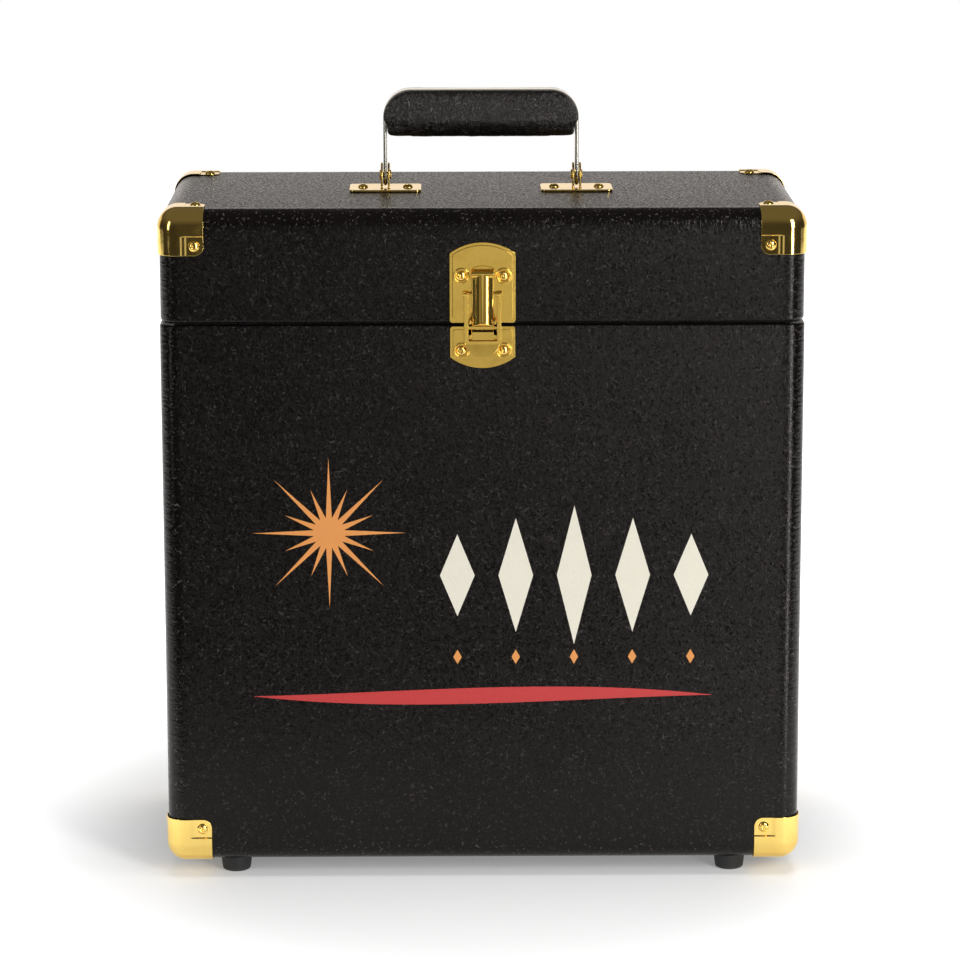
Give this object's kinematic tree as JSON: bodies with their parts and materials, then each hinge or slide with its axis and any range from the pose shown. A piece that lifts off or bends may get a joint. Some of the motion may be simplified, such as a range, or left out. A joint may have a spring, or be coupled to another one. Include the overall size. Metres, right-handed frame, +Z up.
{
  "type": "record carrying case",
  "caption": "Upright carrying case for long-playing records: covered board walls, hinged lid, draw latch, folding padded handle, corner guards and feet.",
  "frame": {"origin": "on the floor under the feet, midway between the case's left and right sides and midway between its front and back walls", "axes": "+Z up, -Y towards the front with the latch, +X to the right as seen from the front"},
  "size_m": [0.3544, 0.1892, 0.4296],
  "materials": {
    "leatherette": "fine-grained black leatherette, satin",
    "grip_leatherette": "wrinkled black leatherette, satin",
    "lining_cloth": "matt black cloth",
    "fibreboard": "raw fibreboard under the covering, papered black inside the lid",
    "polished_brass": "polished yellow brass plating",
    "brass_screws": "polished brass plating, slightly duller than the sheet parts",
    "foot_rubber": "matt black rubber"
  },
  "bodies": {
    "case_body": {"body_front_board": "fibreboard", "body_back_board": "fibreboard", "body_left_board": "fibreboard", "body_right_board": "fibreboard", "body_bottom_board": "fibreboard", "body_covering": "leatherette", "body_lining_front": "lining_cloth", "body_lining_back": "lining_cloth", "body_lining_left": "lining_cloth", "body_lining_right": "lining_cloth", "body_floor_pad": "lining_cloth", "foot_front_left": "foot_rubber", "foot_front_right": "foot_rubber", "foot_rear_left": "foot_rubber", "foot_rear_right": "foot_rubber", "foot_screws": "brass_screws", "bottom_guard_front_left": "polished_brass", "bottom_guard_front_right": "polished_brass", "bottom_guard_rear_left": "polished_brass", "bottom_guard_rear_right": "polished_brass", "bottom_guard_screws": "brass_screws", "latch_keeper": "polished_brass", "keeper_screws": "brass_screws", "hinge_left_body_leaf": "polished_brass", "hinge_right_body_leaf": "polished_brass", "hinge_left_pin": "brass_screws", "hinge_right_pin": "brass_screws", "hinge_body_screws": "brass_screws"},
    "lid": {"lid_top_board": "fibreboard", "lid_front_board": "fibreboard", "lid_back_board": "fibreboard", "lid_left_board": "fibreboard", "lid_right_board": "fibreboard", "lid_covering": "leatherette", "top_guard_front_left": "polished_brass", "top_guard_front_right": "polished_brass", "top_guard_rear_left": "polished_brass", "top_guard_rear_right": "polished_brass", "top_guard_screws": "brass_screws", "latch_base_plate": "polished_brass", "latch_base_screws": "brass_screws", "latch_lever_pin": "brass_screws", "hinge_left_lid_leaf": "polished_brass", "hinge_right_lid_leaf": "polished_brass", "hinge_lid_screws": "brass_screws", "handle_bracket_left": "polished_brass", "handle_bracket_right": "polished_brass", "handle_bracket_screws": "brass_screws", "handle_rivet_left": "brass_screws", "handle_rivet_right": "brass_screws"},
    "latch_lever": {"latch_lever": "polished_brass"},
    "loop_pin": {"latch_loop_pin": "brass_screws"},
    "latch_loop": {"latch_loop": "polished_brass"},
    "handle": {"handle_band": "polished_brass", "handle_grip": "grip_leatherette"}
  },
  "joints": [
    {"name": "lid_hinge", "type": "hinge", "parent": "case_body", "child": "lid", "pos_m": [0, 0.08915, 0.3114], "axis": [-1, 0, 0], "range_deg": [0, 100]},
    {"name": "latch_lever_pivot", "type": "hinge", "parent": "lid", "child": "latch_lever", "pos_m": [0, -0.0902, 0.3133], "axis": [1, 0, 0], "range_deg": [0, 110]},
    {"name": "loop_pin_turn", "type": "hinge", "parent": "latch_lever", "child": "loop_pin", "pos_m": [0, -0.0895, 0.3283], "axis": [-1, 0, 0], "range_deg": [0, 110]},
    {"name": "latch_loop_swing", "type": "hinge", "parent": "loop_pin", "child": "latch_loop", "pos_m": [0, -0.0895, 0.3283], "axis": [-1, 0, 0], "range_deg": [-2.6, 95]},
    {"name": "handle_fold", "type": "hinge", "parent": "lid", "child": "handle", "pos_m": [0, 0, 0.3816], "axis": [1, 0, 0], "range_deg": [-80, 80]}
  ],
  "couplings": [
    {"joint": "loop_pin_turn", "follows": "latch_lever_pivot", "ratio": 1}
  ]
}
